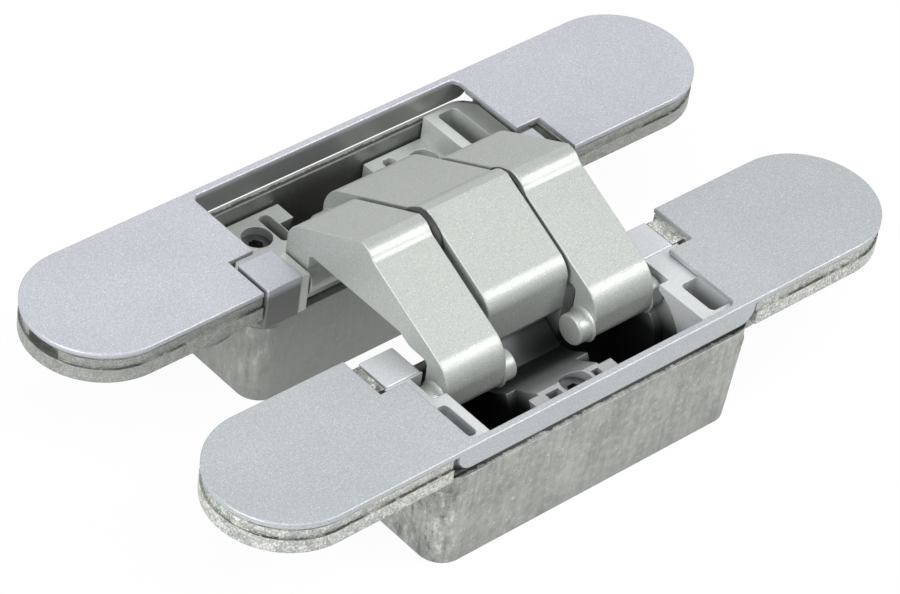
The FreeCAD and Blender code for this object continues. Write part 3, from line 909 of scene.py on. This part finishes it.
@dataclass
class Arm:
    """One cast arm: a pivot knuckle at one end, a bent leg with trunnions at the other.

    The side view is drawn in the arm's own half. The leg with the trunnions reaches
    into the other half, so its distances from the middle plane are taken negative.
    """

    name: str
    half: Half
    body: str
    finish: Material
    x0: float
    x1: float
    root: float = 0.2
    set_back: float = 0.0
    set_back_radius: float = 6.0
    set_back_steps: int = 12
    ridge: float = 10.73
    slope: float = 0.49
    pivot: Pair = (10.8, -3.2)
    slider: Pair = (17.33, -4.1)
    leg: Span = (9.27, 13.95)
    slider_leg: Span = (15.05, 19.63)
    crease: Pair = (2.77, 9.21)
    brow: Pair = (2.2, 9.9)
    crown: Pair = (1.4, 10.5)
    belly: float = 1.7
    arch: Pair = (11.4, 0.7)
    arch_end: float = 0.6
    knuckle: float = 2.7
    knuckle_steps: int = 36
    foot_steps: int = 24
    trunnion: float = 2.3
    trunnion_length: float = 2.4
    trunnion_rim: float = 0.35
    trunnion_sunk: float = 0.05
    rim_round: float = 0.2
    # Root and rim of a trunnion as (along, out) shares of their own sizes
    root_curve: Tuple[Pair, ...] = ((0.0, 1.0), (0.3, 0.6), (0.8, 0.2), (1.5, 0.0))
    rim_curve: Tuple[Pair, ...] = ((1.0, 0.0), (0.45, 0.12), (0.12, 0.5), (0.0, 1.0))

    def build(self) -> Object:
        """Build the arm and put it in place.

        Returns:
            The finished object.
        """
        mesh = bmesh.new()
        self._casting(mesh)
        self._trunnions(mesh)
        return Piece(self.name + "_dressed", self.body, "arm_paint", self.finish, (self.name,)).place(mesh, self.half)

    def _casting(self, mesh: BMesh) -> None:
        """Draw the side view, round its bends and give it its width.

        Args:
            mesh: The mesh that takes the casting.
        """
        x = self._plain_side()
        inner, outer = self.leg
        slider_inner, slider_outer = self.slider_leg
        pivot_s, pivot_z = self.pivot
        slider_s, slider_z = self.slider
        crease_s, crease_z = self.crease
        brow_s, brow_z = self.brow
        crown_s, crown_z = self.crown
        arch_s, arch_z = self.arch
        shoulder = self.ridge - self.slope * outer
        bend = crease_z - self.slope * (slider_outer - crease_s)
        knuckle_top = math.sqrt(self.knuckle ** 2 - (pivot_s - inner) ** 2)
        sweep = 180.0 + math.degrees(math.atan2(knuckle_top, pivot_s - inner))
        foot = slider_outer - slider_s
        cut_z = pivot_z + math.sqrt(self.set_back_radius ** 2 - (outer - pivot_s) ** 2)
        cut_s = pivot_s - math.sqrt(self.set_back_radius ** 2 - (self.belly - pivot_z) ** 2)
        pen = Outline(mesh, X_AXIS, (x, 0.0, self.ridge))
        pen.line((x, outer, shoulder), (x, outer, cut_z), (x, outer, pivot_z), (x, pivot_s + self.knuckle, pivot_z))
        pen.turn((x, pivot_s, pivot_z), -sweep, self.knuckle_steps)
        pen.line((x, inner, self.belly), (x, cut_s, self.belly), (x, -inner, self.belly))
        pen.line((x, -arch_s, arch_z), (x, -slider_inner, self.arch_end))
        pen.line((x, -slider_s + foot, slider_z)).turn((x, -slider_s, slider_z), -180.0, self.foot_steps)
        pen.line((x, -slider_outer, bend), (x, -crease_s, crease_z), (x, -brow_s, brow_z), (x, -crown_s, crown_z))
        pen.close()
        bmesh.ops.contextual_create(mesh, geom=pen.edges)
        corners = (
            (outer, shoulder, 2.35, 14), (-slider_outer, bend, 3.05, 16), (-crease_s, crease_z, 0.4, 5),
            (-brow_s, brow_z, 0.42, 5), (-crown_s, crown_z, 0.42, 5), (0.0, self.ridge, 0.1, 4),
            (inner, self.belly, 0.8, 4), (-arch_s, arch_z, 0.5, 3), (-slider_inner, self.arch_end, 0.8, 4))
        for s, z, width, steps in corners:
            softened(mesh, [self._vert_at(mesh, s, z)], width, steps, "VERTICES")
        self._widen(mesh, self._vert_at(mesh, outer, cut_z), self._vert_at(mesh, cut_s, self.belly))
        rims = creased(mesh, RIM_BEND, lambda edge: abs(edge.verts[0].co.x - edge.verts[1].co.x) < 0.001)
        softened(mesh, rims, self.rim_round, 4)

    def _plain_side(self) -> float:
        """Return the X of the side that isn't set back."""
        return self.x1 if self.set_back < 0.0 else self.x0

    def _vert_at(self, mesh: BMesh, s: float, z: float) -> BMVert:
        """Return the vertex of the flat profile at a place."""
        place = Vector((self._plain_side(), s, z))
        return min(mesh.verts, key=lambda vert: (vert.co - place).length)

    def _widen(self, mesh: BMesh, front: BMVert, back: BMVert) -> None:
        """Give the flat profile its width, less of it beside the pivot where the arm is set back.

        Args:
            mesh: The mesh that holds the profile.
            front: Where the line of the set-back starts.
            back: Where it ends.
        """
        width = math.copysign(self.x1 - self.x0 - abs(self.set_back), self.set_back)
        if self.set_back:
            arc = []
            centre = Vector((front.co.x, *self.pivot))
            start = math.atan2(front.co.z - centre.z, front.co.y - centre.y)
            end = math.atan2(back.co.z - centre.z, back.co.y - centre.y)
            for step in range(1, self.set_back_steps):
                angle = start + (end - start) * step / self.set_back_steps
                arc.append(centre + self.set_back_radius * Vector((0.0, math.cos(angle), math.sin(angle))))
            mesh.faces.ensure_lookup_table()
            bmesh.utils.face_split(mesh.faces[0], front, back, coords=arc)
        moved = thickened(mesh, mesh.faces[:], (width, 0.0, 0.0))
        if self.set_back:
            bridge = max(moved, key=lambda face: face.calc_area())
            pulled(mesh, [bridge], (self.set_back, 0.0, 0.0))
        bmesh.ops.recalc_face_normals(mesh, faces=mesh.faces[:])

    def _trunnions(self, mesh: BMesh) -> None:
        """Add the cast trunnions with their swelling roots.

        Args:
            mesh: The mesh that takes the trunnions.
        """
        radius, length, root, rim = self.trunnion, self.trunnion_length, self.root, self.trunnion_rim
        profile = [(-self.trunnion_sunk, 0.0), (-self.trunnion_sunk, radius + root * 0.9)]
        profile += [(root * along, radius + root * out) for along, out in self.root_curve]
        profile += [(length - rim * along, radius - rim * out) for along, out in self.rim_curve]
        profile.append((length, 0.0))
        s, z = -self.slider[0], self.slider[1]
        lathed(mesh, profile, along_x(self.x1, s, z))
        lathed(mesh, profile, along_x(self.x0, s, z) @ Matrix.Rotation(math.pi, 4, "X"))


@dataclass
class Bracket:
    """Small corner piece that closes one end of an opening."""

    name: str
    half: Half
    finish: Material
    x0: float
    x1: float
    front: float = 7.95
    back: float = 14.55
    bottom: float = -7.0
    top: float = 0.0
    rim_round: float = 0.26

    def build(self) -> Object:
        """Build the bracket and put it in place.

        Returns:
            The finished object.
        """
        mesh = bmesh.new()
        brick(mesh, (self.x0, self.front, self.bottom), (self.x1, self.back, self.top))
        bmesh.ops.recalc_face_normals(mesh, faces=mesh.faces[:])
        softened(mesh, mesh.edges[:], self.rim_round, 4)
        piece = Piece(self.name + "_dressed", self.half.body, "carriage_paint", self.finish, (self.name,))
        return piece.place(mesh, self.half)


@dataclass
class Washer:
    """Black ring between two arms, with a rounded rim."""

    name: str
    finish: Material
    x0: float
    x1: float
    z: float = 6.2
    radius: float = 4.35
    bore: float = 2.02
    rim: float = 0.25
    rim_share: float = 0.3
    steps: int = 64

    def build(self) -> Object:
        """Build the washer and put it in place.

        Returns:
            The finished object.
        """
        mesh = bmesh.new()
        wide, edge, cut = self.x1 - self.x0, self.radius - self.rim, self.rim * self.rim_share
        profile = [(0.0, self.bore), (0.0, edge), (cut, self.radius - cut), (self.rim, self.radius),
                   (wide - self.rim, self.radius), (wide - cut, self.radius - cut), (wide, edge), (wide, self.bore),
                   (0.0, self.bore)]
        lathed(mesh, profile, along_x(self.x0, 0.0, self.z), self.steps)
        piece = Piece(self.name + "_dressed", "outer_arms", "black_plastic", self.finish, (self.name,))
        return piece.place(mesh, Half.FAR)


@dataclass
class Castings:
    """The pieces whose shape comes from the frame: castings merged for smooth shading, and pins and screws.

    The slot of the near carriage is boxed in by its X, its distance from the middle
    plane and its floor, in metres. The ledges are low and high corners in millimetres.
    """

    finishes: Finishes
    merged: Tuple[Tuple[str, str, str, str], ...] = (
        ("housing_far", "far_half", "zinc", "zinc"), ("housing_near", "near_half", "zinc", "zinc"),
        ("carriage_far", "far_half", "carriage_paint", "carriage_far"),
        ("carriage_near", "near_half", "carriage_paint", "carriage_near"))
    turned: Tuple[Tuple[str, str], ...] = (
        ("scissor_pin", "steel"), ("pivot_pin_near", "steel"), ("pivot_pin_far_left", "steel"),
        ("pivot_pin_far_right", "steel"), ("adjuster_near", "dark_steel"), ("adjuster_far_left", "dark_steel"),
        ("adjuster_far_right", "dark_steel"))
    merge: float = 0.000004
    smooth: float = 28.0
    slot_x: Span = (-0.0248, -0.0228)
    slot_s: Span = (0.0210, 0.0282)
    slot_floor: float = 0.0124
    slot_shift: float = 0.00115
    ledges: Tuple[Tuple[Point, Point], ...] = (
        ((-28.6, -14.4, 17.0), (-26.3, -9.2, 20.3)), ((26.0, -14.4, 17.0), (28.6, -9.2, 20.45)))

    def build(self) -> None:
        """Build the castings and give the turned pieces their finish."""
        for node, body, slot, finish in self.merged:
            mesh = bmesh.new()
            mesh.from_mesh(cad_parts[node].data)
            bmesh.ops.remove_doubles(mesh, verts=mesh.verts[:], dist=self.merge)
            bmesh.ops.recalc_face_normals(mesh, faces=mesh.faces[:])
            if node == "carriage_near":
                self._shift_slot(mesh)
            if node == "housing_near":
                for low, high in self.ledges:
                    brick(mesh, Vector(low) * MM, Vector(high) * MM)
            material = getattr(self.finishes, finish)
            Piece(node + "_dressed", body, slot, material, (node,), self.smooth).finish_mesh(mesh)
        for node, finish in self.turned:
            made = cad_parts[node]
            if not made.material_slots:
                made.data.materials.append(None)
            for slot in made.material_slots:
                slot.material = getattr(self.finishes, finish)
            logging.info("%s: %s", node, finish)

    def _shift_slot(self, mesh: BMesh) -> None:
        """Move the left slot of the near carriage out from under the cover's edge.

        Args:
            mesh: The near carriage.
        """
        (left, right), (front, back) = self.slot_x, self.slot_s
        verts = [vert for vert in mesh.verts
                 if left < vert.co.x < right and front < -vert.co.y < back and vert.co.z > self.slot_floor]
        bmesh.ops.translate(mesh, vec=Vector((self.slot_shift, 0.0, 0.0)), verts=verts)


@dataclass
class Hinge:
    """The whole hinge, built in order."""

    finishes: Finishes

    def build(self) -> None:
        """Build every piece."""
        Castings(self.finishes).build()
        Cover(Half.FAR, self.finishes.cover_far, rail_depth=4.15, rail_round=1.9).build()
        Cover(Half.NEAR, self.finishes.cover_near).build()
        arm, plastic = self.finishes.arm, self.finishes.plastic
        Arm("outer_arm_left", Half.FAR, "outer_arms", arm, -19.8, -9.4, root=0.36, set_back=1.2).build()
        Arm("outer_arm_right", Half.FAR, "outer_arms", arm, 6.9, 17.6, root=0.36, set_back=-1.8).build()
        Arm("centre_arm", Half.NEAR, "centre_arm_body", arm, -8.2, 6.3).build()
        Washer("washer_left", plastic, -9.34, -8.26).build()
        Washer("washer_right", plastic, 6.36, 6.84, rim=0.14).build()
        near_paint, far_paint = self.finishes.bracket_near, self.finishes.bracket_far
        for hand, near, far in (("left", (-26.2, -20.35), (-27.7, -21.8)), ("right", (18.55, 25.9), (20.0, 25.9))):
            Bracket("bracket_near_" + hand, Half.NEAR, near_paint, *near, front=8.9, back=14.65, top=-0.9).build()
            Bracket("bracket_far_" + hand, Half.FAR, far_paint, *far).build()


@dataclass(frozen=True)
class Lamp:
    """A soft square lamp that looks at the hinge, with its angles in degrees."""

    name: str
    azimuth: float
    elevation: float
    distance: float
    size: float
    power: float

    def build(self) -> None:
        """Hang the lamp."""
        data = bpy.data.lights.new(self.name, "AREA")
        data.shape = "SQUARE"
        data.size = self.size
        data.energy = self.power
        lamp = bpy.data.objects.new(self.name, data)
        bpy.context.scene.collection.objects.link(lamp)
        turn, rise = math.radians(self.azimuth), math.radians(self.elevation)
        away = Vector((math.sin(turn) * math.cos(rise), -math.cos(turn) * math.cos(rise), math.sin(rise)))
        lamp.location = away * self.distance
        lamp.rotation_euler = away.to_track_quat("Z", "Y").to_euler()


@dataclass
class Studio:
    """Floor, light and camera."""

    lamps: Tuple[Lamp, ...] = (
        Lamp("key", 46.0, 38.0, 0.9, 0.34, 3.8),
        Lamp("top", -10.0, 78.0, 1.0, 0.9, 3.5),
        Lamp("back", 150.0, 42.0, 1.1, 0.8, 0.9),
        Lamp("side", -80.0, 22.0, 1.0, 0.6, 9.0),
    )
    room_light: float = 0.42
    floor_glow: float = 0.95
    floor_half: float = 6.0
    floor_squares: int = 8
    floor_colour: Colour = (0.9, 0.9, 0.9)
    floor_roughness: float = 0.9
    camera_place: Point = (-0.317797, -0.295058, 0.382983)
    camera_turn: Point = (49.17647, -6.65558, -41.30041)
    lens: float = 166.6487
    sensor: float = 36.0
    clip: Span = (0.01, 50.0)

    def build(self) -> None:
        """Set up the studio."""
        self._room()
        self._floor()
        for lamp in self.lamps:
            lamp.build()
        self._camera()

    def _room(self) -> None:
        """Light the room evenly and show it white to the camera."""
        world = bpy.data.worlds.new("studio")
        bpy.context.scene.world = world
        tree = Tree(world)
        background = tree.nodes["Background"]
        background.inputs["Color"].default_value = WHITE
        level = tree.seen_white() * (1.0 - self.room_light) + self.room_light
        tree.links.new(level.socket, background.inputs["Strength"])

    def _floor(self) -> None:
        """Lay a plain pale floor that keeps the shadow and shows white to the camera."""
        mesh = bmesh.new()
        bmesh.ops.create_grid(mesh, x_segments=self.floor_squares, y_segments=self.floor_squares,
                              size=self.floor_half)
        data = bpy.data.meshes.new("floor")
        mesh.to_mesh(data)
        mesh.free()
        floor = bpy.data.objects.new("floor", data)
        bpy.context.scene.collection.objects.link(floor)
        tree = Surface("floor_white")
        tree.feed("Base Color", self.floor_colour)
        tree.feed("Roughness", self.floor_roughness)
        glow = tree.node("ShaderNodeEmission", {}, WHITE, 1.0)
        plain = Wire(tree, tree.shader.outputs[0])
        mix = tree.node("ShaderNodeMixShader", {}, tree.seen_white() * self.floor_glow, plain, glow)
        tree.links.new(mix.socket, tree.nodes["Material Output"].inputs["Surface"])
        data.materials.append(tree.material)

    def _camera(self) -> None:
        """Place the camera at the photographer's angle."""
        data = bpy.data.cameras.new("camera")
        data.sensor_width = self.sensor
        data.lens = self.lens
        data.clip_start, data.clip_end = self.clip
        camera = bpy.data.objects.new("camera", data)
        bpy.context.scene.collection.objects.link(camera)
        camera.location = self.camera_place
        camera.rotation_euler = Euler([math.radians(turn) for turn in self.camera_turn], "XYZ")
        bpy.context.scene.camera = camera


def main() -> None:
    """Build the hinge and its studio."""
    logging.basicConfig(level=logging.INFO, format="%(message)s")
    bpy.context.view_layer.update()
    Hinge(Finishes.build()).build()
    Studio().build()
    bpy.context.scene.view_settings.view_transform = "Standard"


if __name__ == "__main__":
    main()
